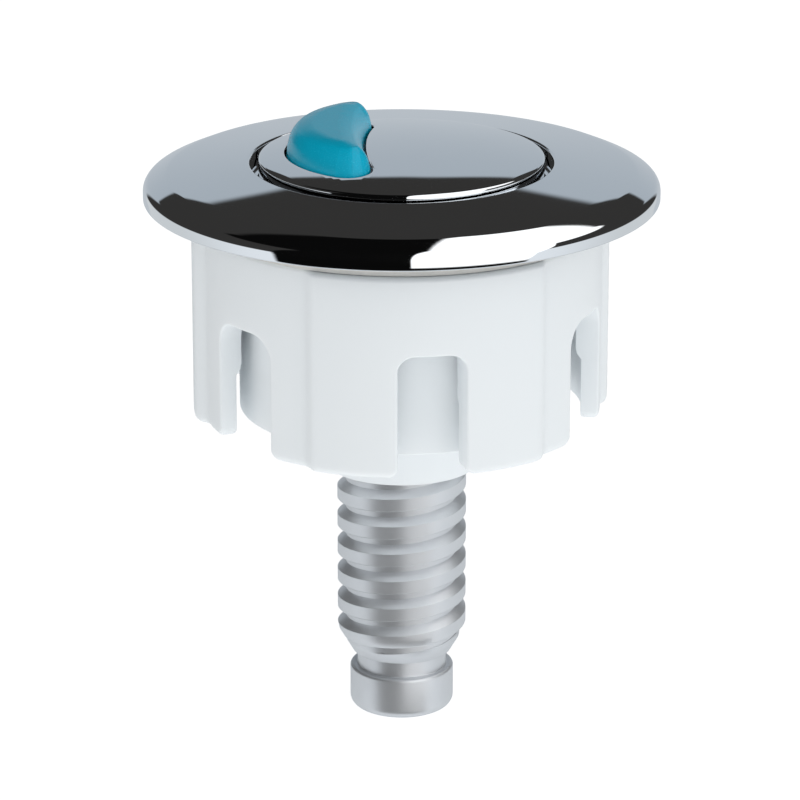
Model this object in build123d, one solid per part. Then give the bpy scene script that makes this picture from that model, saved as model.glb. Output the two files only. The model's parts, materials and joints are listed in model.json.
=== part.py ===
# Dual flush push button for a toilet cistern lid, in millimetres.
# +Z points up out of the lid. The origin is on the button's axis, in the plane of the flange's lower
# edge, which is the upper face of the lid.
import os
from math import cos, radians, sin

from build123d import *

# Flange
flange_diameter = 73.0
rim_height = 3.8
rim_edge_radius = 1.5
flange_wall = 2.0
lip_height = 6.0
lip_radius = 0.7
opening_diameter = 42.2
rim_width = 1.9
dome_bulge = 0.45

# Barrel under the flange
barrel_diameter = 44.4
barrel_wall = 1.2
barrel_length = 30.7
guide_bore_diameter = 40.9
guide_bore_depth = 2.0
barrel_thread_diameter = 46.8
barrel_thread_length = 13.5
column_diameter = 3.8
column_circle_radius = 19.2
column_angles = (30, 150, 270)

# Seal under the flange
seal_thickness = 3.0
seal_width = 6.4
seal_bore_gap = 0.2

# Hand nut
nut_diameter = 56.8
nut_height = 28.2
nut_rib_count = 6
nut_rib_height = 1.1
nut_rib_width = 4.4
nut_first_window_angle = 8.2
nut_thread_length = 9.8
nut_skirt_wall = 3.4
nut_step_height = 9.3
nut_lower_wall = 2.1
nut_edge_radius = 1.3
narrow_window_width = 9.3
wide_window_width = 11.7
window_drop = 10.4
narrow_window_corner = 2.4
wide_window_corner = 3.6

# Slip washer
washer_thickness = 0.8
washer_width = 4.2

# Guide plate
guide_plate_thickness = 2.5
guide_plate_recess = 0.5
collar_diameter = 22.4
collar_drop = 8.8
spring_stub_height = 2.5
gusset_count = 6
gusset_thickness = 1.4
gusset_drop = 5.0

# Full flush button
disc_diameter = 40.0
disc_edge_height = 6.9
disc_crown_height = 8.3
disc_wall = 1.6
disc_edge_radius = 0.9
disc_skirt_wall = 1.8
pocket_wall = 1.0
full_flush_travel = 6.0

# Half flush button
crescent_radius = 16.4
crescent_tip_radius = 1.9
crescent_bow_radius = 56.0
crescent_bow_nearest = (-4.6, -2.3)
crescent_rise = 1.9
crescent_edge_radius = 1.1
crescent_wall = 1.7
pocket_gap = 1.05

# Button carrier
carrier_top = 2.0
carrier_floor_top = -3.6
carrier_floor_thickness = 2.0
carrier_ring_wall = 1.7
carrier_skirt_wall = 2.2
carrier_skirt_bottom = -13.4
hub_diameter = 23.2
hub_drop = 8.0
guide_post_diameter = 2.8
guide_post_places = ((-10.5, 7.0), (-10.5, -7.0))
buffer_thickness = 1.0

# Push rod
rod_diameter = 18.6
rod_root_diameter = 16.5
rod_pitch = 4.2
rod_land_width = 2.0
rod_root_width = 0.9
rod_bottom = -68.2
rod_cone_height = 4.2
rod_thread_top = -33.0
rod_thread_angle = 0.0
rod_upper_bore = 13.0
rod_middle_bore = 9.0
bush_length = 6.0
lock_nut_across_flats = 20.0
lock_nut_height = 5.0

# Half flush pin
pin_diameter = 12.9
pin_shoulder_height = 49.7
pin_stem_diameter = 6.0
pin_neck_length = 2.2
foot_diameter = 15.1
foot_height = 6.1
foot_edge_radius = 1.4
pin_spigot_diameter = 5.0
pin_spigot_height = 1.2
clip_thickness = 0.8
clip_diameter = 8.0
clip_groove_diameter = 3.9

# Half flush slider
slider_top = 3.8
slider_thickness = 2.2
slider_margin = 0.5
slider_arm_width = 8.0
slider_hub_diameter = 10.4
slider_screw_places = ((-7.8, 11.0), (-7.8, -10.8))

# Springs
return_spring_mean_diameter = 26.4
return_spring_wire = 1.1
return_spring_turns = 6
half_spring_mean_diameter = 7.8
half_spring_wire = 0.7
half_spring_turns = 7
wire_sides = 8

# Screws
guide_screw_diameter = 2.2
guide_screw_head = 3.8
guide_screw_length = 8.0
carrier_screw_diameter = 2.0
carrier_screw_head = 3.6
carrier_screw_head_height = 1.4
carrier_screw_circle = 16.2
carrier_screw_angles = (0, 70, -70)
carrier_screw_length = 8.0
disc_boss_diameter = 4.4
slider_screw_diameter = 1.8
slider_screw_head = 3.4
slider_screw_head_height = 1.0
slider_screw_length = 5.0
crescent_boss_diameter = 3.8

# Clearances between pieces
running_gap = 0.10
slide_gap = 0.25
screw_gap = 0.05
thread_gap = 0.10
seat_gap = 0.10
stop_gap = 0.30
column_gap = 0.30

# Heights and radii that follow from the sizes above
seal_bottom = -seal_thickness
nut_top = seal_bottom - seat_gap
nut_bottom = nut_top - nut_height
barrel_bottom = -barrel_length
barrel_inner_radius = barrel_diameter / 2 - barrel_wall
plate_bottom = barrel_bottom + guide_plate_recess
plate_top = plate_bottom + guide_plate_thickness
collar_bottom = plate_bottom - collar_drop - guide_plate_recess
floor_bottom = carrier_floor_top - carrier_floor_thickness
hub_bottom = floor_bottom - hub_drop
column_top = floor_bottom - full_flush_travel - 2 * stop_gap
ring_radius = guide_bore_diameter / 2 - slide_gap
skirt_radius = barrel_inner_radius - slide_gap
shoulder_top = -guide_bore_depth - buffer_thickness - screw_gap
bush_bottom = hub_bottom - lock_nut_height
bush_top = bush_bottom + bush_length
pin_shoulder = -pin_shoulder_height
pin_bore = pin_diameter + 2 * running_gap
foot_top = rod_bottom - pin_neck_length
foot_bottom = foot_top - foot_height
slider_bottom = slider_top - slider_thickness
rod_bore_in_guide = rod_diameter + 2 * running_gap
crescent_top = disc_crown_height + crescent_rise


def turned(profile):
    """One closed face drawn in radius and height, turned about the button's axis."""
    return revolve(Plane.XZ * profile, axis=Axis.Z)


def ring(outer_radius, inner_radius, low, high):
    """A plain ring between two heights."""
    height = high - low
    solid = Pos(0, 0, low) * extrude(Circle(outer_radius) - Circle(inner_radius), height)
    return solid


def rod(radius, low, high, place=(0, 0)):
    """A plain round bar between two heights, at a place in plan."""
    return Pos(place[0], place[1], low) * extrude(Circle(radius), high - low)


def polar(radius, angle):
    """A place in plan, with angles counted from +X towards +Y."""
    return (radius * cos(radians(angle)), radius * sin(radians(angle)))


def outline(points):
    """A closed face from straight runs."""
    return make_face(Polyline(*points, close=True))


def rounded(face, corner, radius):
    """The face with the corner nearest to a point rounded."""
    vertex = face.vertices().sort_by_distance(Vector(corner[0], corner[1], 0))[0]
    return fillet(vertex, radius)


def export_group(solids):
    """Several separate solids as one node."""
    return Compound(children=[solid for solid in solids])


def flange():
    """Domed ring, lip, seat for the seal and the barrel, moulded as one piece."""
    outer = flange_diameter / 2
    lip = opening_diameter / 2
    bore = guide_bore_diameter / 2
    barrel = barrel_diameter / 2
    thread = barrel_thread_diameter / 2
    seat = barrel + seal_bore_gap + seal_width + seat_gap
    rim_top = (outer - 0.9, rim_height)
    lip_top = (lip, lip_height)
    bulge = ((rim_top[0] + lip) / 2, (rim_height + lip_height) / 2 + dome_bulge)
    edge = [
        Polyline((lip, lip_height), (lip, lip_height - 2.2), (bore, lip_height - 2.6), (bore, -guide_bore_depth),
                 (barrel_inner_radius, -guide_bore_depth), (barrel_inner_radius, barrel_bottom),
                 (barrel, barrel_bottom), (barrel, -barrel_thread_length),
                 (thread, -barrel_thread_length + (thread - barrel)), (thread, 0), (seat, 0),
                 (seat, rim_height - flange_wall), (outer - rim_width, rim_height - flange_wall),
                 (outer - rim_width, 0), (outer, 0), (outer, rim_height - 0.8), rim_top),
        ThreePointArc(rim_top, bulge, lip_top),
    ]
    profile = make_face(edge)
    profile = rounded(profile, rim_top, rim_edge_radius)
    profile = rounded(profile, lip_top, lip_radius)
    solid = turned(profile)
    for angle in column_angles:
        place = polar(column_circle_radius, angle)
        column = rod(column_diameter / 2, plate_top, column_top, place)
        hole = rod(guide_screw_diameter / 2 + screw_gap, plate_top, plate_top + guide_screw_length, place)
        solid = solid + column - hole
    return solid


def seal_ring():
    """Soft ring between the flange and the lid."""
    inner = barrel_thread_diameter / 2 + seal_bore_gap
    outer = barrel_diameter / 2 + seal_bore_gap + seal_width
    return ring(outer, inner, seal_bottom, 0)


def slip_washer():
    """Thin ring in the top of the nut, which bears on the lid or the seal."""
    inner = barrel_thread_diameter / 2 + seal_bore_gap
    return ring(inner + washer_width, inner, seal_bottom - washer_thickness, seal_bottom)


def window_cutter(width, corner):
    """One arched window, open at the bottom, cut outwards along -Y."""
    top = nut_top - window_drop
    low = nut_bottom - 1
    face = Pos(0, (top + low) / 2) * Rectangle(width, top - low)
    face = fillet(face.vertices().group_by(Axis.Y)[-1], corner)
    return extrude(Plane.XZ * face, nut_diameter)


def nut_blank(radius):
    """Full round outside of the nut with its rounded edges."""
    face = outline([(0, nut_bottom), (radius, nut_bottom), (radius, nut_top), (0, nut_top)])
    face = rounded(face, (radius, nut_bottom), nut_edge_radius)
    face = rounded(face, (radius, nut_top), nut_edge_radius / 2)
    return turned(face)


def hand_nut():
    """Nut with upright grip ribs and arched windows between them."""
    outer = nut_diameter / 2
    thread = barrel_thread_diameter / 2 + thread_gap
    step = nut_bottom + nut_step_height
    spacing = 360 / nut_rib_count
    slab = Pos(0, -outer, nut_bottom) * extrude(Rectangle(nut_rib_width, nut_skirt_wall), nut_height)
    rib = nut_blank(outer + nut_rib_height) & slab
    solid = nut_blank(outer)
    for k in range(nut_rib_count):
        solid = solid + Rot(0, 0, nut_first_window_angle + spacing * (k + 0.5)) * rib
    recess = rod(thread + washer_width + seal_bore_gap + seat_gap, nut_top - washer_thickness, nut_top)
    bore = rod(thread, nut_bottom, nut_top)
    upper = rod(outer - nut_skirt_wall, nut_bottom, nut_top - nut_thread_length)
    lower = rod(outer - nut_lower_wall, nut_bottom, step)
    solid = solid - [recess, bore, upper, lower]
    narrow = window_cutter(narrow_window_width, narrow_window_corner)
    wide = window_cutter(wide_window_width, wide_window_corner)
    for k in range(nut_rib_count):
        cutter = wide if k % 2 else narrow
        solid = solid - Rot(0, 0, nut_first_window_angle + spacing * k) * cutter
    return solid


def guide_plate():
    """Plate in the barrel's mouth with the collar that guides the push rod."""
    bore = rod_bore_in_guide / 2
    collar = collar_diameter / 2
    plate = ring(barrel_inner_radius - slide_gap, bore, plate_bottom, plate_top)
    tube = ring(collar, bore, collar_bottom, plate_top + spring_stub_height)
    gusset_face = outline([
        (collar - 0.3, plate_bottom), (barrel_inner_radius - 2, plate_bottom),
        (collar, plate_bottom - gusset_drop), (collar - 0.3, plate_bottom - gusset_drop),
    ])
    gusset = Plane.XZ * extrude(gusset_face, gusset_thickness / 2, both=True)
    solid = plate + tube
    for k in range(gusset_count):
        solid = solid + Rot(0, 0, 360 / gusset_count * k) * gusset
    for angle in column_angles:
        place = polar(column_circle_radius, angle)
        solid = solid - rod(guide_screw_diameter / 2 + screw_gap, plate_bottom, plate_top, place)
        solid = solid - Pos(*place, 0) * countersink(screw_gap)
    return solid


def countersink(gap):
    """Cone for the guide screws' heads, flush with the plate's lower face."""
    head = guide_screw_head / 2 + gap
    shank = guide_screw_diameter / 2 + gap
    face = outline([(0, plate_bottom), (head, plate_bottom), (shank, plate_bottom + head - shank),
                    (0, plate_bottom + head - shank)])
    return turned(face)


def guide_screws():
    """Countersunk screws that hold the guide plate."""
    screw = countersink(0) + rod(guide_screw_diameter / 2, plate_bottom,
                                 plate_top + guide_screw_length - stop_gap)
    recess = Pos(0, 0, plate_bottom) * extrude(Rectangle(2.2, 0.5) + Rectangle(0.5, 2.2), 0.7)
    screw = screw - recess
    return export_group([Pos(*polar(column_circle_radius, angle), 0) * screw for angle in column_angles])


def crescent_face(margin):
    """Plan of the crescent, grown by a margin."""
    near, level = crescent_bow_nearest
    face = Circle(crescent_radius) - Pos(near + crescent_bow_radius, level) * Circle(crescent_bow_radius)
    tips = face.vertices().sort_by(Axis.Y)
    face = fillet([tips[0], tips[-1]], crescent_tip_radius)
    return offset(face, margin) if margin else face


def dome_height(radius, lift=0):
    """Height of the disc's domed top at a radius, raised by a lift."""
    sagitta = disc_crown_height - disc_edge_height
    sphere = ((disc_diameter / 2) ** 2 + sagitta ** 2) / (2 * sagitta)
    return disc_crown_height + lift - sphere + (sphere ** 2 - radius ** 2) ** 0.5


def dome_arc(start, end, lift=0):
    """Part of the domed top's section between two radii."""
    middle = (start + end) / 2
    return ThreePointArc((start, dome_height(start, lift)), (middle, dome_height(middle, lift)),
                         (end, dome_height(end, lift)))


def under_dome(lift):
    """Solid that fills the space under the domed top."""
    edge = disc_diameter / 2
    face = make_face([
        dome_arc(0, edge, lift),
        Polyline((edge, dome_height(edge, lift)), (edge, floor_bottom), (0, floor_bottom),
                 (0, dome_height(0, lift))),
    ])
    return turned(face)


def full_flush_button():
    """Domed disc with a skirt, a walled pocket for the crescent and three screw bosses."""
    edge = disc_diameter / 2
    skirt = edge - disc_skirt_wall
    profile = make_face([
        dome_arc(0, edge),
        Polyline((edge, disc_edge_height), (edge, carrier_top), (skirt, carrier_top),
                 (skirt, dome_height(skirt, -disc_wall))),
        dome_arc(skirt, 0, -disc_wall),
        Line((0, dome_height(0, -disc_wall)), (0, disc_crown_height)),
    ])
    solid = turned(rounded(profile, (edge, disc_edge_height), disc_edge_radius))
    inside = under_dome(-disc_wall / 2)
    wall_low = slider_top + pin_spigot_height + stop_gap
    wall_face = crescent_face(pocket_gap + pocket_wall) & Circle(skirt + 0.2)
    wall = Pos(0, 0, wall_low) * extrude(wall_face, disc_crown_height - wall_low)
    solid = solid + (wall & inside)
    for angle in carrier_screw_angles:
        place = polar(carrier_screw_circle, angle)
        boss = rod(disc_boss_diameter / 2, carrier_floor_top, disc_edge_height, place)
        hole = rod(carrier_screw_diameter / 2 + screw_gap, carrier_floor_top,
                   floor_bottom + carrier_screw_length + stop_gap, place)
        solid = solid + (boss & inside) - hole
    low = carrier_floor_top
    return solid - Pos(0, 0, low) * extrude(crescent_face(pocket_gap), crescent_top - low)


def half_flush_button():
    """Raised crescent with rounded top edges, hollow below, with two screw bosses."""
    height = crescent_top - slider_top
    body = Pos(0, 0, slider_top) * extrude(crescent_face(0), height)
    body = body & under_dome(crescent_rise)
    top_edges = body.faces().sort_by(Axis.Z)[-1].edges()
    body = fillet(top_edges, crescent_edge_radius)
    inner = Pos(0, 0, slider_top) * extrude(crescent_face(-crescent_wall), height)
    hollow = inner & under_dome(crescent_rise - crescent_wall)
    solid = body - hollow
    for place in slider_screw_places:
        boss = rod(crescent_boss_diameter / 2, slider_top, disc_crown_height, place)
        hole = rod(slider_screw_diameter / 2 + screw_gap, slider_top,
                   slider_bottom + slider_screw_length + stop_gap, place)
        solid = solid + (boss & under_dome(crescent_rise - crescent_wall / 2)) - hole
    return solid


def half_flush_slider():
    """Bridge under the crescent with an arm and a hub over the pin."""
    plan = crescent_face(-slider_margin)
    reach = slider_margin + 1 - crescent_bow_nearest[0]
    arm = Pos(-reach / 2, 0) * Rectangle(reach, slider_arm_width)
    hub = Circle(slider_hub_diameter / 2)
    plan = plan + arm + hub - Circle(pin_spigot_diameter / 2 + running_gap)
    solid = Pos(0, 0, slider_bottom) * extrude(plan, slider_thickness)
    for place in guide_post_places:
        solid = solid - rod(guide_post_diameter / 2 + running_gap, slider_bottom, slider_top, place)
    for place in slider_screw_places:
        solid = solid - rod(slider_screw_diameter / 2 + screw_gap, slider_bottom, slider_top, place)
        solid = solid - rod(slider_screw_head / 2 + running_gap, slider_bottom,
                            slider_bottom + slider_screw_head_height, place)
    return solid


def slider_screws():
    """Pan head screws that hold the crescent to the slider."""
    screws = []
    for place in slider_screw_places:
        shank = rod(slider_screw_diameter / 2, slider_bottom, slider_bottom + slider_screw_length, place)
        head = rod(slider_screw_head / 2, slider_bottom, slider_bottom + slider_screw_head_height, place)
        screws.append(shank + head)
    return export_group(screws)


def button_carrier():
    """Moulding that carries both buttons: upper ring, floor, hub for the rod and keyed guide skirt."""
    bore = rod_diameter / 2 + thread_gap
    upper = ring(ring_radius, ring_radius - carrier_ring_wall, carrier_floor_top, carrier_top)
    floor = ring(ring_radius, bore, floor_bottom, carrier_floor_top)
    hub = ring(hub_diameter / 2, bore, hub_bottom, floor_bottom)
    skirt = ring(skirt_radius, skirt_radius - carrier_skirt_wall, carrier_skirt_bottom, shoulder_top)
    solid = upper + floor + hub + skirt
    for place in guide_post_places:
        solid = solid + rod(guide_post_diameter / 2, carrier_floor_top, slider_top - 0.4, place)
    slot_top = column_top + full_flush_travel + stop_gap
    slot_width = column_diameter + 2 * column_gap
    slot = Pos(column_circle_radius, 0, (slot_top + carrier_skirt_bottom) / 2 - 1) * Box(
        column_diameter + 2, slot_width, slot_top - carrier_skirt_bottom + 2)
    for angle in column_angles:
        solid = solid - Rot(0, 0, angle) * slot
    for angle in carrier_screw_angles:
        place = polar(carrier_screw_circle, angle)
        solid = solid - rod(carrier_screw_diameter / 2 + screw_gap, floor_bottom, carrier_floor_top, place)
    return solid


def carrier_screws():
    """Pan head screws from below the carrier's floor into the disc's bosses."""
    screws = []
    for angle in carrier_screw_angles:
        place = polar(carrier_screw_circle, angle)
        shank = rod(carrier_screw_diameter / 2, floor_bottom, floor_bottom + carrier_screw_length, place)
        head = rod(carrier_screw_head / 2, floor_bottom - carrier_screw_head_height, floor_bottom, place)
        screws.append(shank + head)
    return export_group(screws)


def buffer_ring():
    """Rubber ring on the carrier's shoulder."""
    return ring(barrel_inner_radius - running_gap, ring_radius + screw_gap, shoulder_top,
                shoulder_top + buffer_thickness)


def thread_groove(top, bottom):
    """Right-handed groove between the lands of the push rod's thread."""
    outer = rod_diameter / 2 + 0.3
    root = rod_root_diameter / 2
    half_root = rod_root_width / 2
    slope = (rod_pitch - rod_land_width - rod_root_width) / (rod_diameter - rod_root_diameter)
    half_top = half_root + slope * (outer - root)
    path = Helix(pitch=rod_pitch, height=top - bottom, radius=root)
    section = Plane(origin=path @ 0, x_dir=(1, 0, 0), z_dir=path % 0) * outline([
        (0, -half_root), (outer - root, -half_top), (outer - root, half_top), (0, half_root)])
    groove = sweep(section, path=path, is_frenet=True)
    return Rot(0, 0, rod_thread_angle) * Pos(0, 0, bottom) * groove


def push_rod():
    """Threaded tube with a cone at its lower end and stepped bores for the pin."""
    outer = rod_diameter / 2
    pin_hole = pin_bore / 2
    cone_end = pin_hole + 0.4
    shoulder = pin_shoulder + stop_gap
    upper = rod_upper_bore / 2
    middle = rod_middle_bore / 2
    profile = outline([
        (upper, carrier_floor_top), (outer, carrier_floor_top), (outer, rod_bottom + rod_cone_height),
        (cone_end, rod_bottom), (pin_hole, rod_bottom), (pin_hole, shoulder), (middle, shoulder),
        (middle, bush_bottom), (upper, bush_bottom),
    ])
    return turned(profile) - thread_groove(rod_thread_top, rod_bottom + 1.5)


def rod_lock_nut():
    """Hexagon nut that locks the rod against the carrier's hub."""
    corner = lock_nut_across_flats / 3 ** 0.5
    bore = rod_diameter / 2 + thread_gap
    solid = Pos(0, 0, bush_bottom) * extrude(RegularPolygon(corner, 6) - Circle(bore), lock_nut_height)
    cap = outline([(0, bush_bottom), (corner - 0.7, bush_bottom), (corner, bush_bottom + 0.6),
                   (corner, hub_bottom - 0.6), (corner - 0.7, hub_bottom), (0, hub_bottom)])
    return solid & turned(cap)


def pin_bush():
    """Plain bush in the rod's upper bore."""
    return ring(rod_upper_bore / 2 - screw_gap, pin_stem_diameter / 2 + running_gap, bush_bottom, bush_top)


def half_flush_pin():
    """Turned pin with a round foot below the rod and a spigot for the slider above it."""
    body = pin_diameter / 2
    foot = foot_diameter / 2
    stem = pin_stem_diameter / 2
    spigot = pin_spigot_diameter / 2
    groove = clip_groove_diameter / 2
    top = slider_top + pin_spigot_height
    profile = outline([
        (0, foot_bottom), (foot, foot_bottom), (foot, foot_top), (body, foot_top), (body, pin_shoulder),
        (stem, pin_shoulder), (stem, slider_bottom), (spigot, slider_bottom), (spigot, slider_top),
        (groove, slider_top), (groove, slider_top + clip_thickness), (spigot, slider_top + clip_thickness),
        (spigot, top), (0, top),
    ])
    profile = rounded(profile, (foot, foot_bottom), foot_edge_radius)
    profile = rounded(profile, (foot, foot_top), 0.4)
    return turned(profile)


def pin_clip():
    """Open spring clip in the pin's groove."""
    groove = clip_groove_diameter / 2
    plan = Circle(clip_diameter / 2) - Circle(groove + screw_gap)
    plan = plan - Pos(clip_diameter / 2, 0) * Rectangle(clip_diameter, 2 * groove * 0.8)
    return Pos(0, 0, slider_top) * extrude(plan, clip_thickness)


def coil(mean_diameter, wire, turns, low, high):
    """Round wire coil that stands between two seats."""
    height = high - low - wire
    path = Helix(pitch=height / turns, height=height, radius=mean_diameter / 2)
    section = Plane(origin=path @ 0, z_dir=path % 0) * RegularPolygon(wire / 2, wire_sides)
    return Pos(0, 0, low + wire / 2) * sweep(section, path=path, is_frenet=True)


def return_spring():
    """Large spring that lifts the full flush button."""
    return coil(return_spring_mean_diameter, return_spring_wire, return_spring_turns, plate_top, floor_bottom)


def half_flush_spring():
    """Small spring that lifts the half flush button."""
    return coil(half_spring_mean_diameter, half_spring_wire, half_spring_turns, bush_top, slider_bottom)


def main():
    os.makedirs("parts", exist_ok=True)
    pieces = [
        flange, seal_ring, slip_washer, hand_nut, guide_plate, guide_screws, full_flush_button,
        half_flush_button, half_flush_slider, slider_screws, button_carrier, carrier_screws, buffer_ring,
        push_rod, rod_lock_nut, pin_bush, half_flush_pin, pin_clip, return_spring, half_flush_spring,
    ]
    for piece in pieces:
        export_step(piece(), f"parts/{piece.__name__}.step")


main()
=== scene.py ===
# Looks of a dual flush push button for a cistern lid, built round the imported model.
# The scene is in metres, and the sizes of the pieces are given in millimetres.
# +Z is up, -Y is the side that the camera sees at rest, +X is to its right.
import json
from math import acos, atan2, cos, pi, radians, sin, tan

import bmesh
import bpy
import numpy as np
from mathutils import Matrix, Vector
from mathutils.geometry import delaunay_2d_cdt


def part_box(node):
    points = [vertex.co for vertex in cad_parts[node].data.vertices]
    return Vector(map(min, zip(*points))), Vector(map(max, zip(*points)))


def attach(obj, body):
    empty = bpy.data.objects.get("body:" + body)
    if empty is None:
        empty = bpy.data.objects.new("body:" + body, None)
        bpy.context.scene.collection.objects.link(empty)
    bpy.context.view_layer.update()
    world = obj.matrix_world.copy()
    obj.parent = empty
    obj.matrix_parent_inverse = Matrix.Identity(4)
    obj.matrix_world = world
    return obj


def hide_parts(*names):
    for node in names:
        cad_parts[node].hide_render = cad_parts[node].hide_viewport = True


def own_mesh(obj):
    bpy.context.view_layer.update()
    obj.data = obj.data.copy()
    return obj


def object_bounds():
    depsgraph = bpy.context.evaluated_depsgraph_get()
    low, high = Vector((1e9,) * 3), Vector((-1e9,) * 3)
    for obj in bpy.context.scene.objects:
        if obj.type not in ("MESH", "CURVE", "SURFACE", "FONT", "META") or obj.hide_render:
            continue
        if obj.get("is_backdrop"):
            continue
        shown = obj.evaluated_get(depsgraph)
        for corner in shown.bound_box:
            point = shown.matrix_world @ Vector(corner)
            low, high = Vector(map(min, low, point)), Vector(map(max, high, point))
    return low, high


MM = 0.001

# Camera, as fitted to the photograph
IMAGE_WIDTH = 800
FOCAL_PIXELS = 4396.0
SENSOR_WIDTH = 36.0
CAMERA_DISTANCE = 629 * MM
CAMERA_ELEVATION = 18.5
AIM_HEIGHT = -25.4 * MM
SHIFT_RIGHT_PIXELS = 1.7
SHIFT_UP_PIXELS = 34.0
CLIP_START = 0.01
CLIP_END = 10.0

# Meshes
TURNS = 288
COLUMN_TURNS = 32
ROD_TURNS = 160
WIRE_SIDES = 16
WIRE_STEPS = 56
WELD = 1e-7
SHARP_ANGLE = 38

# Flange, in millimetres and degrees as all sizes of pieces below
FLANGE_RADIUS = 36.5
RIM_TOP = 2.2
RIM_ROLL = 1.5
RIM_FOOT = 1.9
LIP_RADIUS = 21.4
LIP_TOP = 5.25
LIP_ROLL = 0.35
LIP_FOOT = 2.9
SHOULDER_RADIUS = 33.2
SHOULDER_START = 31.4
SHOULDER_BEND = 1.5
DOME_STEP = 0.4
DOME_SLOPE = 7.3
DOME_BEND = 0.08
HOLLOW_RADIUS = 30.2
HOLLOW_TOP = 1.9
HOLLOW_EDGE = 1.6
SEAT_MARGIN = 0.6
SEAT_DEPTH = 0.4
BORE_RADIUS = 20.45
BORE_TOP = 2.5

# Barrel
BARREL_RADIUS = 23.2
BARREL_BORE = 21.0
BARREL_NECK = -2.0
BARREL_BOTTOM = -30.7
COLUMN_ANGLES = (30, 150, 270)
COLUMN_PLACE = 19.2
COLUMN_RADIUS = 1.9
COLUMN_HOLE = 1.15
COLUMN_TOP = -12.2
COLUMN_BOTTOM = -27.7

# Disc
DISC_RADIUS = 20.2
DISC_EDGE = 5.8
DISC_CROWN = 7.3
DISC_PLATE = 2.2
DISC_ROLL = 0.3
DISC_POINTS = 360
DISC_SPACING = (0.7, 0.6)
SKIRT_INSIDE = 18.3
SKIRT_OUTSIDE = 20.1
SKIRT_BOTTOM = 2.0
SKIRT_TOP = 4.2
POCKET_GAP = 0.35
POCKET_ROLL = 0.2
POCKET_RUN = 0.4

# Crescent. The trims, in radians, leave room for the round tips.
CRESCENT_RADIUS = 16.2
CRESCENT_TIP = 2.7
CRESCENT_SHIFT = 1.0
CRESCENT_TRIM = 0.4
CRESCENT_POINTS = 90
CRESCENT_RUN = 0.3
CRESCENT_ROLL = 0.06
CRESCENT_SPACING = (0.45, 0.4)
CRESCENT_WALL = 0.9
CRESCENT_BOTTOM = 3.8
CRESCENT_SKIN = 1.6
BOW_RADIUS = 60.0
BOW_OFFSET = 5.4
BOW_TRIM = 0.108
BOW_POINTS = 50
PILLOW_ROLL = 3.2
PILLOW_EDGE = 6.2
PILLOW_TOP = 10.5
PILLOW_POWER = 2.3
PILLOW_RINGS = (0.16, 0.3, 0.5, 0.75, 1.05, 1.4, 1.8)

# Hand nut
NUT_RADIUS = 28.4
NUT_TOP = -3.1
NUT_BOTTOM = -31.9
NUT_WALL = 3.4
NUT_STEP = -22.0
NUT_STEP_RUN = 0.5
NUT_STEP_DEPTH = 0.8
NUT_ROLL = 0.65
NUT_ROLL_RUN = 1.3
NUT_RUN = 0.9
NUT_SPACING = (0.8, 1.1)
SECTOR_RISE = 1.4
SECTOR_HALF = 36.5
SECTOR_RAMP = 4.5
WINDOWS = 6
WINDOW_TURN = 60
FIRST_WINDOW = 8.2
WINDOW_TOP = -14.3
WINDOW_ROLL = 0.3
WINDOW_FOOT = 1.35
WIDE_WINDOW = 11.7
WIDE_ARCH = 3.6
NARROW_WINDOW = 9.3
NARROW_ARCH = 2.4
RING_INSIDE = 23.5
RING_OUTSIDE = 25.4
RING_BOTTOM = -12.9
RING_TOP = -3.9

# Push rod
ROD_RADIUS = 9.3
ROOT_RADIUS = 8.1
ROD_TIP = 7.2
ROD_BORE = 6.6
ROD_BOTTOM = -68.4
ROD_BOTTOM_RING = 0.05
ROD_MIDDLE_RING = -40
CONE_HEIGHT = 3.6
THREAD_EDGE = 0.1
THREAD_FILLET = 0.08
THREAD_PITCH = 4.2
THREAD_START = -67.4
THREAD_START_ANGLE = 150
THREAD_TOP = -33.0

# Pin
FOOT_RADIUS = 7.5
FOOT_TOP = -70.9
FOOT_BOTTOM = -77.2
NECK_RADIUS = 6.45
NECK_TOP = -49.7
STEM_RADIUS = 3.0
STEM_TOP = 1.6
SPIGOT_RADIUS = 2.5
GROOVE_RADIUS = 1.95
GROOVE_BOTTOM = 3.8
GROOVE_TOP = 4.6

# Studio as mirrors see it. Heights and sides are in degrees, from the horizon and from the camera.
FLOOR_HEIGHTS = (1.0, -3.0)
FLOOR_SIDES = (57, 120)
PANEL_SIDES = (148.0, 154.0)
PANEL_TOP = 22.4
PANEL_RISE = 5.0
PANEL_RISE_SIDES = (168.0, 179.0)
PANEL_EDGE = (0.6, -0.6)
PANEL_HEIGHTS = (-10.0, 27.0)
FRONT_SIDES = (59.0, 56.0)
FRONT_HEIGHTS = (-60.0, -50.0)
TOP_HEIGHTS = (47.0, 50.0)
BOX_START = (0.06, 0.075)
BOX_FOOT = -20.0
BOX_STEP = 52.0
BOX_STEP_TURNS = (56.0, 80.0)
BOX_RISE = 10.0
BOX_RISE_TURNS = (60.0, 162.0)
BOX_EDGE = (-1.0, 1.0)

# Light on everything that isn't a mirror: a level, and its change along X, Y and Z
LIGHT_LEVEL = 0.55
LIGHT_CHANGE = (0.26, -0.40, -0.15)

# Floor
FLOOR_SIZE = 4.0
FLOOR_GAP = 0.05 * MM


# Small helpers for node trees


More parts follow.
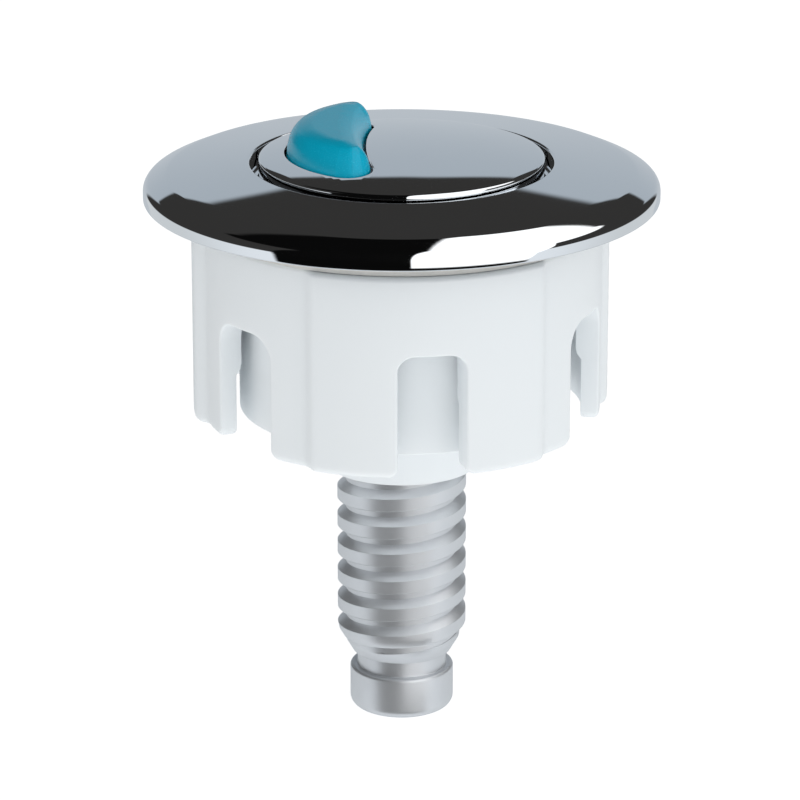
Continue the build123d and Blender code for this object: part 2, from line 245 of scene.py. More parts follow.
class Tree:
    """A material's or the world's node tree, with short calls for the nodes used here."""

    def __init__(self, tree):
        self.tree = tree
        tree.nodes.clear()

    def node(self, kind, **settings):
        made = self.tree.nodes.new(kind)
        for key, value in settings.items():
            setattr(made, key, value)
        return made

    def feed(self, socket, value):
        if isinstance(value, bpy.types.NodeSocket):
            self.tree.links.new(value, socket)
        else:
            socket.default_value = value

    def math(self, operation, *values, clamp=False):
        made = self.node("ShaderNodeMath", operation=operation, use_clamp=clamp)
        for socket, value in zip(made.inputs, values):
            self.feed(socket, value)
        return made.outputs[0]

    def step(self, value, start, end):
        """0 below start, 1 above end and a smooth ramp between. Start may lie above end."""
        made = self.node("ShaderNodeMapRange", interpolation_type="SMOOTHSTEP")
        self.feed(made.inputs["Value"], value)
        self.feed(made.inputs["From Min"], start)
        self.feed(made.inputs["From Max"], end)
        return made.outputs["Result"]

    def mix(self, factor, low, high):
        made = self.node("ShaderNodeMix", data_type="RGBA")
        self.feed(made.inputs[0], factor)
        self.feed(made.inputs[6], low)
        self.feed(made.inputs[7], high)
        return made.outputs[2]

    def noise(self, scale, detail, vector):
        made = self.node("ShaderNodeTexNoise")
        made.inputs["Scale"].default_value = scale
        made.inputs["Detail"].default_value = detail
        self.feed(made.inputs["Vector"], vector)
        return made.outputs["Fac"]

    def object_place(self, stretch=(1, 1, 1)):
        """The surface's place in the piece's own frame, stretched along its axes."""
        place = self.node("ShaderNodeTexCoord").outputs["Object"]
        made = self.node("ShaderNodeMapping")
        self.feed(made.inputs["Vector"], place)
        made.inputs["Scale"].default_value = stretch
        return made.outputs["Vector"]

    def bump(self, height, distance, strength=1.0):
        made = self.node("ShaderNodeBump")
        made.inputs["Strength"].default_value = strength
        made.inputs["Distance"].default_value = distance
        self.feed(made.inputs["Height"], height)
        return made.outputs["Normal"]


def new_material(name, **values):
    """A material with one Principled shader. Returns the material, its tree and the shader."""
    material = bpy.data.materials.new(name)
    material.use_nodes = True
    tree = Tree(material.node_tree)
    shader = tree.node("ShaderNodeBsdfPrincipled")
    output = tree.node("ShaderNodeOutputMaterial")
    tree.feed(output.inputs["Surface"], shader.outputs["BSDF"])
    for key, value in values.items():
        tree.feed(shader.inputs[key.replace("_", " ")], value)
    return material, tree, shader


def rgb(red, green, blue):
    return (red, green, blue, 1.0)


def sound_between(tree, value, low, high):
    """A value from 0 to 1 spread between two numbers."""
    return tree.math("MULTIPLY_ADD", value, high - low, low)


# Materials


def chrome():
    """Bright chrome plating on moulded plastic."""
    material, tree, shader = new_material("chrome_plating", Metallic=1.0)
    shade = tree.noise(30.0, 2.0, tree.object_place())
    tree.feed(shader.inputs["Base Color"], tree.mix(shade, rgb(0.86, 0.88, 0.90), rgb(0.90, 0.92, 0.94)))
    smear = tree.noise(160.0, 3.0, tree.object_place())
    tree.feed(shader.inputs["Roughness"], sound_between(tree, smear, 0.015, 0.045))
    return material


def white_plastic():
    """Satin white moulded plastic with a very fine grain."""
    material, tree, shader = new_material("white_moulding", Subsurface_Weight=0.12)
    shader.inputs["Subsurface Radius"].default_value = (1.0, 1.0, 1.0)
    shader.inputs["Subsurface Scale"].default_value = 1.5 * MM
    shade = tree.noise(45.0, 3.0, tree.object_place())
    tree.feed(shader.inputs["Base Color"], tree.mix(shade, rgb(0.86, 0.90, 0.925), rgb(0.89, 0.925, 0.945)))
    grain = tree.noise(2200.0, 2.0, tree.object_place())
    tree.feed(shader.inputs["Roughness"], sound_between(tree, grain, 0.36, 0.48))
    tree.feed(shader.inputs["Normal"], tree.bump(grain, 0.01 * MM, 0.25))
    return material


def blue_plastic():
    """Pearl blue: fine flakes in a satin paint."""
    material, tree, shader = new_material("pearl_blue", IOR=1.36)
    flake = tree.noise(5200.0, 1.0, tree.object_place())
    cloud = tree.noise(60.0, 2.0, tree.object_place())
    base = tree.mix(cloud, rgb(0.0, 0.50, 0.74), rgb(0.0, 0.55, 0.80))
    flecked = tree.mix(tree.step(flake, 0.55, 0.75), base, rgb(0.01, 0.60, 0.84))
    tree.feed(shader.inputs["Base Color"], flecked)
    tree.feed(shader.inputs["Roughness"], sound_between(tree, flake, 0.20, 0.28))
    tree.feed(shader.inputs["Normal"], tree.bump(flake, 0.01 * MM, 0.15))
    return material


def silver_metal():
    """Turned silver metal: faint rings from the tool over a fine blasted grain."""
    material, tree, shader = new_material("turned_silver", Metallic=0.75)
    rings = tree.noise(900.0, 2.0, tree.object_place((0.06, 0.06, 1.0)))
    grain = tree.noise(2600.0, 2.0, tree.object_place())
    shade = tree.noise(140.0, 3.0, tree.object_place())
    tree.feed(shader.inputs["Base Color"], tree.mix(shade, rgb(0.70, 0.72, 0.75), rgb(0.80, 0.82, 0.84)))
    tree.feed(shader.inputs["Roughness"], sound_between(tree, grain, 0.34, 0.46))
    height = tree.math("MULTIPLY_ADD", rings, 0.6, grain)
    tree.feed(shader.inputs["Normal"], tree.bump(height, 0.02 * MM, 0.35))
    return material


def steel():
    """Zinc plated steel of the screws, clip and lock nut."""
    material, tree, shader = new_material("plated_steel", Metallic=1.0)
    shade = tree.noise(200.0, 3.0, tree.object_place())
    tree.feed(shader.inputs["Base Color"], tree.mix(shade, rgb(0.58, 0.59, 0.60), rgb(0.70, 0.71, 0.71)))
    tree.feed(shader.inputs["Roughness"], sound_between(tree, shade, 0.22, 0.38))
    return material


def spring_steel():
    """Bright drawn wire, with fine marks along the wire."""
    material, tree, shader = new_material("drawn_wire", Metallic=1.0)
    mark = tree.noise(700.0, 3.0, tree.object_place((1.0, 1.0, 0.2)))
    tree.feed(shader.inputs["Base Color"], tree.mix(mark, rgb(0.48, 0.49, 0.51), rgb(0.64, 0.65, 0.67)))
    tree.feed(shader.inputs["Roughness"], sound_between(tree, mark, 0.18, 0.34))
    return material


def rubber(name, dark, light):
    """Matt rubber or foam with open grain."""
    material, tree, shader = new_material(name)
    pores = tree.noise(1500.0, 4.0, tree.object_place())
    tree.feed(shader.inputs["Base Color"], tree.mix(pores, dark, light))
    tree.feed(shader.inputs["Roughness"], sound_between(tree, pores, 0.7, 0.9))
    tree.feed(shader.inputs["Normal"], tree.bump(pores, 0.05 * MM, 0.5))
    return material


def natural_plastic():
    """Unpainted cream plastic of the bush."""
    material, tree, shader = new_material("natural_moulding", Subsurface_Weight=0.1)
    shader.inputs["Subsurface Radius"].default_value = (1.0, 0.9, 0.8)
    shader.inputs["Subsurface Scale"].default_value = 1.0 * MM
    shade = tree.noise(150.0, 2.0, tree.object_place())
    tree.feed(shader.inputs["Base Color"], tree.mix(shade, rgb(0.70, 0.68, 0.62), rgb(0.76, 0.74, 0.69)))
    tree.feed(shader.inputs["Roughness"], sound_between(tree, shade, 0.35, 0.5))
    return material


def floor_material():
    """Plain white floor, lit from below as well, so that it shows no dark shadow."""
    material, tree, shader = new_material("white_floor", Roughness=0.9, Emission_Strength=0.82)
    shade = tree.noise(3.0, 2.0, tree.object_place())
    tree.feed(shader.inputs["Base Color"], tree.mix(shade, rgb(0.50, 0.50, 0.50), rgb(0.52, 0.52, 0.52)))
    shader.inputs["Emission Color"].default_value = rgb(1.0, 1.0, 1.0)
    return material


# Mesh helpers. Shapes are drawn in millimetres and stored in metres.


def rounded_path(corners, steps=8):
    """A closed path's points. A corner (x, y, radius) with a radius becomes an arc."""
    points = []
    for k, (x, y, radius) in enumerate(corners):
        here = np.array((x, y))
        if not radius:
            points.append(here)
            continue
        before = np.array(corners[k - 1][:2]) - here
        after = np.array(corners[(k + 1) % len(corners)][:2]) - here
        before = before / np.linalg.norm(before)
        after = after / np.linalg.norm(after)
        half = acos(np.dot(before, after)) / 2
        middle = (before + after) / np.linalg.norm(before + after)
        centre = here + middle * radius / sin(half)
        start = here + before * radius / tan(half) - centre
        end = here + after * radius / tan(half) - centre
        first = atan2(start[1], start[0])
        turn = (atan2(end[1], end[0]) - first + pi) % (2 * pi) - pi
        for step in range(steps + 1):
            angle = first + turn * step / steps
            points.append(centre + radius * np.array((cos(angle), sin(angle))))
    return np.array(points)


def spaced(points, gap, closed=True):
    """The same path with points no further apart than a gap."""
    made = []
    ends = np.roll(points, -1, 0)
    count = len(points) if closed else len(points) - 1
    for k in range(count):
        parts = max(1, int(np.ceil(np.linalg.norm(ends[k] - points[k]) / gap)))
        made += [points[k] + (ends[k] - points[k]) * part / parts for part in range(parts)]
    if not closed:
        made.append(points[-1])
    return np.array(made)


class Shape:
    """Points and faces of one piece while it is put together."""

    def __init__(self):
        self.points = []
        self.faces = []

    def add(self, points, faces):
        first = len(self.points)
        self.points += [tuple(point) for point in points]
        self.faces += [tuple(first + index for index in face) for face in faces]

    def turned(self, profile, place=(0, 0), turns=TURNS):
        """A closed profile of radius and height turned about an upright axis."""
        count = len(profile)
        points = []
        for turn in range(turns):
            angle = 2 * pi * turn / turns
            for radius, height in profile:
                points.append((place[0] + radius * cos(angle), place[1] + radius * sin(angle), height))
        faces = []
        for turn in range(turns):
            near, far = turn * count, (turn + 1) % turns * count
            for k in range(count):
                following = (k + 1) % count
                faces.append((near + k, far + k, far + following, near + following))
        self.add(points, faces)

    def piece(self, name, material, slot, body, *replaced):
        """The finished object, joined where points meet, smooth but for its sharp edges."""
        mesh = bpy.data.meshes.new(name)
        mesh.from_pydata([tuple(MM * value for value in point) for point in self.points], [], self.faces)
        work = bmesh.new()
        work.from_mesh(mesh)
        bmesh.ops.remove_doubles(work, verts=work.verts, dist=WELD)
        bmesh.ops.dissolve_degenerate(work, edges=work.edges, dist=WELD)
        bmesh.ops.recalc_face_normals(work, faces=work.faces)
        work.to_mesh(mesh)
        work.free()
        mesh.shade_smooth()
        mesh.set_sharp_from_angle(angle=radians(SHARP_ANGLE))
        mesh.materials.append(material)
        made = bpy.data.objects.new(name, mesh)
        bpy.context.scene.collection.objects.link(made)
        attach(made, body)
        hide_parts(*replaced)
        return made


def inside(points, loop):
    """Which points lie inside a closed loop."""
    result = np.zeros(len(points), bool)
    for start, end in zip(loop, np.roll(loop, -1, 0)):
        if start[1] == end[1]:
            continue
        crosses = (points[:, 1] >= start[1]) != (points[:, 1] >= end[1])
        along = (points[:, 1] - start[1]) / (end[1] - start[1])
        result ^= crosses & (points[:, 0] < start[0] + along * (end[0] - start[0]))
    return result


def nearness(points, loop):
    """Distance of each point to a closed loop of short runs."""
    best = np.full(len(points), np.inf)
    for start, end in zip(loop, np.roll(loop, -1, 0)):
        run = end - start
        along = np.clip(((points - start) @ run) / max(run @ run, 1e-12), 0, 1)
        best = np.minimum(best, np.linalg.norm(points - start - along[:, None] * run, axis=1))
    return best


def filled(loops, spacing, extra=None):
    """Triangles over the area between loops. The loops' points come first.
    Extra points take the place of the grid where it is near the first loop."""
    loop_points = np.concatenate(loops)
    low, high = loop_points.min(0), loop_points.max(0)
    across = np.arange(low[0], high[0], spacing[0])
    up = np.arange(low[1] + spacing[1] / 2, high[1], spacing[1])
    grid = np.array([(x + spacing[0] / 2 * (row % 2), y) for row, y in enumerate(up) for x in across])
    if extra is not None:
        grid = np.concatenate((extra, grid[nearness(grid, loops[0]) > PILLOW_ROLL]))
    covered = np.zeros(len(grid), bool)
    for loop in loops:
        covered ^= inside(grid, loop)
        covered &= nearness(grid, loop) > 0.35 * min(spacing)
    points = np.concatenate((loop_points, grid[covered]))
    edges, first = [], 0
    for loop in loops:
        edges += [(first + k, first + (k + 1) % len(loop)) for k in range(len(loop))]
        first += len(loop)
    _, _, faces, origin, _, _ = delaunay_2d_cdt([Vector(point) for point in points], edges, [], 0, 1e-9)
    faces = np.array([[origin[index][0] for index in face] for face in faces])
    middles = points[faces].mean(1)
    covered = np.zeros(len(faces), bool)
    for loop in loops:
        covered ^= inside(middles, loop)
    return points, faces[covered]


def inset(path, distance, closed):
    """A path moved to its left by one distance, or by a distance for each point."""
    before, after = np.roll(path, 1, 0), np.roll(path, -1, 0)
    if not closed:
        before[0], after[-1] = path[0], path[-1]
    run = after - before
    run = run / np.linalg.norm(run, axis=1)[:, None]
    return path + np.stack((-run[:, 1], run[:, 0]), 1) * np.reshape(distance, (-1, 1))


def slab(shape, paths, rounding, spacing, place, thickness, closed=True, extra=None):
    """A plate with rounded edges between a face and a back. Each path has the material on its left.
    place(points, depth) says where flat points lie at a depth under the face, rounding(path) how
    far the edge is rolled and thickness(points) how thick the plate is. Open paths make one outline."""
    radii = [rounding(path) for path in paths]
    starts = [inset(path, radius, closed) for path, radius in zip(paths, radii)]
    outline = starts if closed else [np.concatenate(starts)]
    flat, triangles = filled(outline, spacing, extra)
    deep = thickness(flat)
    shape.add(place(flat, 0 * deep), triangles)
    shape.add(place(flat, deep), triangles)
    for path, radius, start in zip(paths, radii, starts):
        depth_here = thickness(start)
        rows = []
        for angle in np.linspace(0, pi / 2, 5):
            rows.append(place(inset(path, radius * (1 - sin(angle)), closed), radius * (1 - cos(angle))))
        low_radius = np.minimum(radius, 0.3)
        for angle in np.linspace(pi / 2, 0, 3):
            rows.append(place(inset(path, low_radius * (1 - sin(angle)), closed),
                              depth_here - low_radius * (1 - cos(angle))))
        rows.append(place(start, depth_here))
        count = len(path)
        last = count if closed else count - 1
        faces = [(row * count + k, (row + 1) * count + k, (row + 1) * count + (k + 1) % count,
                  row * count + (k + 1) % count) for row in range(len(rows) - 1) for k in range(last)]
        shape.add(np.concatenate(rows), faces)


# Pieces


def plated_flange(material):
    """Domed ring with its lip, rolled rim and bore."""
    dome = [(LIP_RADIUS, LIP_TOP, LIP_ROLL)]
    height, radius = LIP_TOP, LIP_RADIUS
    while radius < SHOULDER_RADIUS:
        slope = (DOME_SLOPE + DOME_BEND * (radius - LIP_RADIUS)
                 + SHOULDER_BEND * max(0.0, radius - SHOULDER_START))
        radius += DOME_STEP
        height -= DOME_STEP * tan(radians(slope))
        dome.append((radius, height, 0))
    foot = FLANGE_RADIUS - RIM_FOOT
    seat = BARREL_RADIUS - SEAT_MARGIN
    rest = [(FLANGE_RADIUS, RIM_TOP, RIM_ROLL), (FLANGE_RADIUS, 0, 0.25),
            (foot, 0, 0), (foot, HOLLOW_EDGE, 0.5),
            (HOLLOW_RADIUS, HOLLOW_TOP, 0.3), (HOLLOW_RADIUS, 0, 0),
            (seat, 0, 0), (seat, -SEAT_DEPTH, 0), (BORE_RADIUS, -SEAT_DEPTH, 0),
            (BORE_RADIUS, BORE_TOP, 0), (LIP_RADIUS, LIP_FOOT, 0)]
    shape = Shape()
    shape.turned(rounded_path(dome + rest))
    return shape.piece("flange_plating", material, "chrome", "root", "flange")


def bare_barrel(material):
    """Unplated barrel under the flange with its three screw columns."""
    shape = Shape()
    shape.turned(rounded_path([
        (BARREL_RADIUS, 0, 0), (BARREL_RADIUS, BARREL_BOTTOM, 0.25), (BARREL_BORE, BARREL_BOTTOM, 0.25),
        (BARREL_BORE, BARREL_NECK, 0.1), (BORE_RADIUS, BARREL_NECK, 0.1), (BORE_RADIUS, 0, 0)]))
    column = rounded_path([(COLUMN_HOLE, COLUMN_BOTTOM, 0), (COLUMN_RADIUS, COLUMN_BOTTOM, 0),
                           (COLUMN_RADIUS, COLUMN_TOP, 0.2), (COLUMN_HOLE, COLUMN_TOP, 0.2)], 3)
    for angle in COLUMN_ANGLES:
        place = (COLUMN_PLACE * cos(radians(angle)), COLUMN_PLACE * sin(radians(angle)))
        shape.turned(column, place, COLUMN_TURNS)
    return shape.piece("barrel", material, "white_plastic", "root", "flange")


def crescent_path(margin, gap):
    """Plan of the crescent, grown by a margin, with the material on its left."""
    outer = CRESCENT_RADIUS + margin
    bow = BOW_RADIUS - margin
    centre = BOW_RADIUS - BOW_OFFSET
    meet = (outer ** 2 - bow ** 2 + centre ** 2) / (2 * centre)
    side = (outer ** 2 - meet ** 2) ** 0.5
    round_off = CRESCENT_TIP + margin
    turn = atan2(side, meet)
    lean = atan2(side, centre - meet)
    arc_turns = np.linspace(turn + CRESCENT_TRIM, 2 * pi - turn - CRESCENT_TRIM, CRESCENT_POINTS)
    arc = [(outer * cos(angle), outer * sin(angle), 0) for angle in arc_turns]
    bow_turns = np.linspace(-lean + BOW_TRIM, lean - BOW_TRIM, BOW_POINTS)
    back = [(centre - bow * cos(angle), bow * sin(angle), 0) for angle in bow_turns]
    tips = [(meet, -side, round_off)] + back + [(meet, side, round_off)]
    points = spaced(rounded_path(arc + tips), gap)
    return points + np.array((0, CRESCENT_SHIFT))


def dome_height(points):
    """Height of the disc's domed face at places in plan."""
    rise = DISC_CROWN - DISC_EDGE
    sphere = (DISC_RADIUS ** 2 + rise ** 2) / (2 * rise)
    return DISC_CROWN - sphere + np.sqrt(sphere ** 2 - (points ** 2).sum(1))


def flush_disc(material):
    """Domed disc with the crescent's pocket cut through it and a skirt below."""
    turn = np.linspace(0, 2 * pi, DISC_POINTS + 1)[:-1]
    edge = DISC_RADIUS * np.stack((np.cos(turn), np.sin(turn)), 1)
    pocket = crescent_path(POCKET_GAP, POCKET_RUN)[::-1]

    def place(points, depth):
        return np.column_stack((points, dome_height(points) - depth))

    def rounding(path):
        return np.full(len(path), DISC_ROLL if path is edge else POCKET_ROLL)

    def thickness(points):
        return np.full(len(points), DISC_PLATE)

    shape = Shape()
    slab(shape, [edge, pocket], rounding, DISC_SPACING, place, thickness)
    shape.turned(rounded_path([(SKIRT_INSIDE, SKIRT_BOTTOM, 0.2), (SKIRT_OUTSIDE, SKIRT_BOTTOM, 0.2),
                               (SKIRT_OUTSIDE, SKIRT_TOP, 0), (SKIRT_INSIDE, SKIRT_TOP, 0)], 3))
    return shape.piece("flush_disc", material, "chrome", "full_flush", "full_flush_button")


def crescent(material):
    """Blue pillow whose edges roll down into the disc's pocket."""
    path = crescent_path(0, CRESCENT_RUN)

    def pillow(points):
        inward = np.minimum(nearness(points, path), PILLOW_ROLL) / PILLOW_ROLL
        return PILLOW_EDGE + (PILLOW_TOP - PILLOW_EDGE) * (1 - (1 - inward) ** PILLOW_POWER) ** 0.5

    def place(points, depth):
        return np.column_stack((points, pillow(points) - depth))

    def rounding(points):
        return np.full(len(points), CRESCENT_ROLL)

    def thickness(points):
        in_wall = nearness(points, path) < CRESCENT_WALL
        return np.where(in_wall, pillow(points) - CRESCENT_BOTTOM, CRESCENT_SKIN)

    rings = np.concatenate([inset(path, distance, True) for distance in PILLOW_RINGS])
    shape = Shape()
    slab(shape, [path], rounding, CRESCENT_SPACING, place, thickness, extra=rings)
    made = shape.piece("half_flush_crescent", material, "blue_plastic", "half_flush", "half_flush_button")
    # The polished disc round it shows no blue
    made.visible_glossy = False
    return made


def nut_outside(turn):
    """Radius of the nut's outside by angle: three thicker sectors round the narrow windows."""
    away = np.abs((turn - radians(FIRST_WINDOW) + pi / 3) % (2 * pi / 3) - pi / 3)
    step = np.clip((radians(SECTOR_HALF) - away) / radians(SECTOR_RAMP), 0, 1)
    return NUT_RADIUS + SECTOR_RISE * step * step * (3 - 2 * step)


def skirted_nut(material):
    """Hand nut: thick sectors, arched windows open below, and a plain ring, without its thread, inside its
    top.
    """
    seam = FIRST_WINDOW - 2.5 * WINDOW_TURN
    low = [(radians(seam) * NUT_RADIUS, NUT_BOTTOM, 0)]
    for k in range(WINDOWS):
        middle = radians(seam + WINDOW_TURN / 2 + WINDOW_TURN * k) * NUT_RADIUS
        width, arch = (WIDE_WINDOW, WIDE_ARCH) if k % 2 else (NARROW_WINDOW, NARROW_ARCH)
        left, right = middle - width / 2, middle + width / 2
        low += [(left, NUT_BOTTOM, WINDOW_FOOT), (left, WINDOW_TOP, arch),
                (right, WINDOW_TOP, arch), (right, NUT_BOTTOM, WINDOW_FOOT)]
    low.append((radians(seam + 360) * NUT_RADIUS, NUT_BOTTOM, 0))
    low = spaced(rounded_path(low), NUT_RUN, closed=False)
    high = spaced(np.array([(low[-1][0], NUT_TOP), (low[0][0], NUT_TOP)]), NUT_RUN, closed=False)

    def rounding(path):
        edge = np.clip(1 - (path[:, 1] - NUT_BOTTOM) / NUT_ROLL_RUN, 0, 1)
        return np.where(path[:, 1] > NUT_TOP - 0.01, NUT_ROLL, WINDOW_ROLL + NUT_ROLL * edge)

    def place(points, depth):
        turn = points[:, 0] / NUT_RADIUS
        radius = nut_outside(turn) - depth
        return np.column_stack((radius * np.sin(turn), -radius * np.cos(turn), points[:, 1]))

    def thickness(points):
        lower = np.clip((NUT_STEP - points[:, 1]) / NUT_STEP_RUN, 0, 1)
        wall = NUT_WALL - NUT_STEP_DEPTH * lower
        return wall + nut_outside(points[:, 0] / NUT_RADIUS) - NUT_RADIUS

    shape = Shape()
    slab(shape, [low, high], rounding, NUT_SPACING, place, thickness, closed=False)
    shape.turned(rounded_path([(RING_INSIDE, RING_BOTTOM, 0.2), (RING_OUTSIDE, RING_BOTTOM, 0),
                               (RING_OUTSIDE, RING_TOP, 0), (RING_INSIDE, RING_TOP, 0.2)], 3))
    return shape.piece("hand_nut_shell", material, "white_plastic", "nut", "hand_nut")


def threaded_rod(material, top):
    """Coarse right-handed thread on a tube with a cone below, as rows that follow the helix."""
    fillet, edge = ROOT_RADIUS + THREAD_FILLET, ROD_RADIUS - THREAD_EDGE
    section = [(0.0, ROOT_RADIUS), (0.42, ROOT_RADIUS), (0.48, fillet), (0.78, edge), (0.9, ROD_RADIUS),
               (1.9, ROD_RADIUS), (2.7, ROD_RADIUS), (2.82, edge), (3.68, fillet), (3.76, ROOT_RADIUS)]
    turns = ROD_TURNS
    first = int((ROD_BOTTOM - THREAD_START) / THREAD_PITCH) - 2
    last = int((top - THREAD_START) / THREAD_PITCH) + 2
    rows = [(THREAD_START + k * THREAD_PITCH + up, radius)
            for k in range(first, last) for up, radius in section]
    points = []
    for height, radius in rows:
        for turn in range(turns + 1):
            z = height + THREAD_PITCH * turn / turns
            angle = radians(THREAD_START_ANGLE) + 2 * pi * turn / turns
            cone = ROD_TIP + (ROD_RADIUS - ROD_TIP) * (z - ROD_BOTTOM) / CONE_HEIGHT
            limit = min(radius, cone) if z < THREAD_TOP else ROD_RADIUS
            z = min(max(z, ROD_BOTTOM), top)
            limit = max(limit, ROD_TIP)
            points.append((limit * cos(angle), limit * sin(angle), z))
    faces = [(row * (turns + 1) + k, row * (turns + 1) + k + 1, (row + 1) * (turns + 1) + k + 1,
              (row + 1) * (turns + 1) + k) for row in range(len(rows) - 1) for k in range(turns)]
    shape = Shape()
    shape.add(points, faces)
    shape.turned(rounded_path([
        (ROD_BORE, ROD_BOTTOM, 0), (ROD_TIP, ROD_BOTTOM, 0), (ROD_TIP, ROD_BOTTOM + ROD_BOTTOM_RING, 0),
        (ROD_TIP, ROD_MIDDLE_RING, 0), (ROD_TIP, top, 0), (ROD_BORE, top, 0)]), turns=turns)
    return shape.piece("threaded_rod", material, "silver_metal", "full_flush", "push_rod")


def footed_pin(material, top):
    """Turned pin: round foot, neck inside the rod, stem and spigot."""
    shape = Shape()
    shape.turned(rounded_path([
        (0, FOOT_BOTTOM, 0), (FOOT_RADIUS, FOOT_BOTTOM, 1.4), (FOOT_RADIUS, FOOT_TOP, 0.45),
        (NECK_RADIUS, FOOT_TOP, 0.15), (NECK_RADIUS, NECK_TOP, 0.3), (STEM_RADIUS, NECK_TOP, 0.3),
        (STEM_RADIUS, STEM_TOP, 0), (SPIGOT_RADIUS, STEM_TOP, 0), (SPIGOT_RADIUS, GROOVE_BOTTOM, 0),
        (GROOVE_RADIUS, GROOVE_BOTTOM, 0), (GROOVE_RADIUS, GROOVE_TOP, 0),
        (SPIGOT_RADIUS, GROOVE_TOP, 0), (SPIGOT_RADIUS, top, 0.2), (0, top, 0)]), turns=ROD_TURNS)
    return shape.piece("footed_pin", material, "silver_metal", "half_flush", "half_flush_pin")


def spring(name, material, body, node, mean_radius, wire, turns):
    """Round wire coil with closed ends."""
    low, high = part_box(node)
    low, high = low.z / MM, high.z / MM
    sides, steps = WIRE_SIDES, WIRE_STEPS * turns
    points = []
    for step in range(steps + 1):
        turn = step / steps * turns
        free = np.clip((turn - 1) / (turns - 2), 0, 1)
        end = np.clip(turn, 0, 1) + np.clip(turn - turns + 1, 0, 1)
        rise = end * wire + free * (high - low - 3 * wire)
        for side in range(sides):
            angle = 2 * pi * side / sides
            radius = mean_radius + wire / 2 * cos(angle)
            z = min(max(low + wire / 2 + rise + wire / 2 * sin(angle), low), high)
            points.append((radius * cos(2 * pi * turn), radius * sin(2 * pi * turn), z))
    faces = [(step * sides + k, step * sides + (k + 1) % sides, (step + 1) * sides + (k + 1) % sides,
              (step + 1) * sides + k) for step in range(steps) for k in range(sides)]
    faces += [tuple(range(sides)), tuple(steps * sides + k for k in range(sides))]
    shape = Shape()
    shape.add(points, faces)
    made = shape.piece(name, material, "spring_steel", body, node)
    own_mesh(made)
    return made


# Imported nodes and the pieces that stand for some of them


def dress_nodes(frame):
    """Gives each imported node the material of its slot."""
    made = {
        "chrome": chrome(),
        "white_plastic": white_plastic(),
        "blue_plastic": blue_plastic(),
        "silver_metal": silver_metal(),
        "steel": steel(),
        "spring_steel": spring_steel(),
        "grey_rubber": rubber("grey_foam_rubber", rgb(0.66, 0.65, 0.62), rgb(0.76, 0.75, 0.72)),
        "black_rubber": rubber("black_rubber", rgb(0.012, 0.012, 0.012), rgb(0.03, 0.03, 0.03)),
        "bush_plastic": natural_plastic(),
    }
    for part in frame["record"]["subparts"]:
        node = frame["nodes"][part["node"]]
        node.data.materials.clear()
        node.data.materials.append(made[part["material_slot"]])
    return made


def make_pieces(made):
    """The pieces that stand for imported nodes."""
    plated_flange(made["chrome"])
    bare_barrel(made["white_plastic"])
    flush_disc(made["chrome"])
    crescent(made["blue_plastic"])
    skirted_nut(made["white_plastic"])
    threaded_rod(made["silver_metal"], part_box("push_rod")[1].z / MM)
    footed_pin(made["silver_metal"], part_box("half_flush_pin")[1].z / MM)
    spring("return_coil", made["spring_steel"], "root", "return_spring",
           mean_radius=13.2, wire=1.1, turns=6)
    spring("half_flush_coil", made["spring_steel"], "full_flush", "half_flush_spring",
           mean_radius=3.9, wire=0.7, turns=7)


# Studio


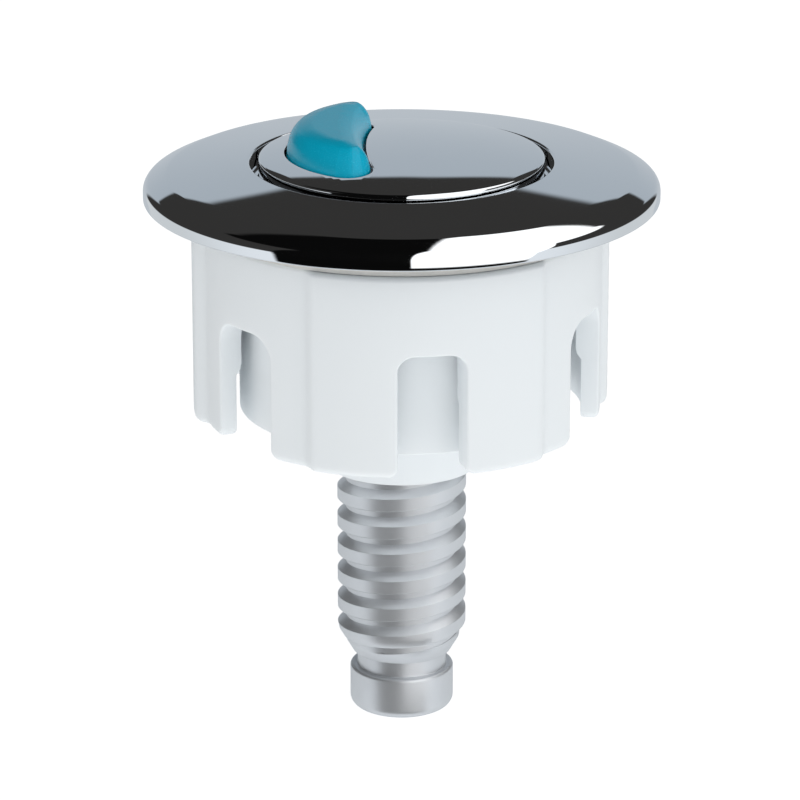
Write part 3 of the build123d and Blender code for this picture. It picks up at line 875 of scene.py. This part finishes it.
def studio_world():
    """Soft studio: what glossy surfaces mirror, and an even pale light for everything else."""
    world = bpy.data.worlds.new("studio")
    world.use_nodes = True
    bpy.context.scene.world = world
    tree = Tree(world.node_tree)
    direction = tree.node("ShaderNodeTexCoord").outputs["Generated"]
    parts = tree.node("ShaderNodeSeparateXYZ")
    tree.feed(parts.inputs[0], direction)
    x, y, z = parts.outputs
    to_degrees = 180 / pi
    height = tree.math("MULTIPLY", tree.math("ARCSINE", z), to_degrees)
    turn = tree.math("MULTIPLY", tree.math("ARCTAN2", x, tree.math("MULTIPLY", y, -1.0)), to_degrees)
    side = tree.math("ABSOLUTE", turn)

    def both(first, second):
        return tree.math("MULTIPLY", first, second)

    black = rgb(0.003, 0.003, 0.003)
    floor_glow = tree.mix(tree.step(side, *FLOOR_SIDES), rgb(0.80, 0.84, 0.88), rgb(0.62, 0.65, 0.67))
    colour = tree.mix(tree.step(height, *FLOOR_HEIGHTS), rgb(0.034, 0.033, 0.032), floor_glow)
    # The panel behind stands a little higher in its middle
    below_top = tree.math("MULTIPLY_ADD", tree.step(side, *PANEL_RISE_SIDES), -PANEL_RISE, -PANEL_TOP)
    over_panel = tree.math("ADD", height, below_top)
    back_panel = both(tree.step(side, *PANEL_SIDES), tree.step(over_panel, *PANEL_EDGE))
    panel_shade = tree.mix(tree.step(height, *PANEL_HEIGHTS), rgb(0.52, 0.56, 0.60), rgb(0.40, 0.45, 0.50))
    colour = tree.mix(back_panel, colour, panel_shade)
    black_front = both(tree.step(side, *FRONT_SIDES), tree.step(height, *FRONT_HEIGHTS))
    colour = tree.mix(black_front, colour, black)
    colour = tree.mix(tree.step(height, *TOP_HEIGHTS), colour, black)
    # The large white softbox stands to the right and reaches over the top
    box_rise = tree.step(turn, *BOX_RISE_TURNS)
    box_foot = tree.math("MULTIPLY_ADD", tree.step(turn, *BOX_STEP_TURNS), BOX_STEP, BOX_FOOT)
    box_foot = tree.math("MULTIPLY_ADD", box_rise, BOX_RISE, box_foot)
    over_foot = tree.step(tree.math("SUBTRACT", height, box_foot), *BOX_EDGE)
    softbox = both(tree.step(x, *BOX_START), over_foot)
    colour = tree.mix(softbox, colour, rgb(1.3, 1.3, 1.3))

    mirrored = tree.node("ShaderNodeBackground")
    tree.feed(mirrored.inputs["Color"], colour)
    pale = tree.node("ShaderNodeBackground")
    pale.inputs["Color"].default_value = rgb(0.985, 1.0, 1.01)
    light = LIGHT_LEVEL
    for along, change in zip((x, y, z), LIGHT_CHANGE):
        light = tree.math("MULTIPLY_ADD", along, change, light)
    tree.feed(pale.inputs["Strength"], light)
    white = tree.node("ShaderNodeBackground")
    white.inputs["Color"].default_value = rgb(1.0, 1.0, 1.0)
    rays = tree.node("ShaderNodeLightPath")
    choose = tree.node("ShaderNodeMixShader")
    tree.feed(choose.inputs[0], rays.outputs["Is Glossy Ray"])
    tree.feed(choose.inputs[1], pale.outputs[0])
    tree.feed(choose.inputs[2], mirrored.outputs[0])
    shown = tree.node("ShaderNodeMixShader")
    tree.feed(shown.inputs[0], rays.outputs["Is Camera Ray"])
    tree.feed(shown.inputs[1], choose.outputs[0])
    tree.feed(shown.inputs[2], white.outputs[0])
    output = tree.node("ShaderNodeOutputWorld")
    tree.feed(output.inputs["Surface"], shown.outputs[0])


def floor():
    """Large pale floor under the foot, which mirrors don't see."""
    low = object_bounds()[0]
    mesh = bpy.data.meshes.new("floor")
    half = FLOOR_SIZE / 2
    level = low.z - FLOOR_GAP
    corners = [(-half, -half, level), (half, -half, level), (half, half, level), (-half, half, level)]
    mesh.from_pydata(corners, [], [(0, 1, 2, 3)])
    made = bpy.data.objects.new("floor", mesh)
    bpy.context.scene.collection.objects.link(made)
    made.data.materials.append(floor_material())
    made.visible_glossy = False
    made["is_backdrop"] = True


def camera():
    """Camera at the photograph's angle."""
    data = bpy.data.cameras.new("camera")
    data.sensor_width = SENSOR_WIDTH
    data.lens = FOCAL_PIXELS / IMAGE_WIDTH * SENSOR_WIDTH
    data.shift_x = -SHIFT_RIGHT_PIXELS / IMAGE_WIDTH
    data.shift_y = -SHIFT_UP_PIXELS / IMAGE_WIDTH
    made = bpy.data.objects.new("camera", data)
    bpy.context.scene.collection.objects.link(made)
    back = Vector((0, -cos(radians(CAMERA_ELEVATION)), sin(radians(CAMERA_ELEVATION))))
    made.location = Vector((0, 0, AIM_HEIGHT)) + back * CAMERA_DISTANCE
    made.rotation_mode = "QUATERNION"
    made.rotation_quaternion = (-back).to_track_quat("-Z", "Y")
    data.clip_start = CLIP_START
    data.clip_end = CLIP_END
    bpy.context.scene.camera = made


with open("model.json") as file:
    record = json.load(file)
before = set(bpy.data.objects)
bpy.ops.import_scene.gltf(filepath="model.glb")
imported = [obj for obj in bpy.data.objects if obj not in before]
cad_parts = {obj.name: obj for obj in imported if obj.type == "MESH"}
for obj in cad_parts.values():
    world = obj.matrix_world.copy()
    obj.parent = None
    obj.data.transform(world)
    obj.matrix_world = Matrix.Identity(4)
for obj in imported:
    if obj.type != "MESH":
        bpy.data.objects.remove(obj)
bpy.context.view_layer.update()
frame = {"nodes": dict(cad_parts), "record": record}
make_pieces(dress_nodes(frame))
studio_world()
floor()
camera()
bpy.context.scene.view_settings.view_transform = "Standard"
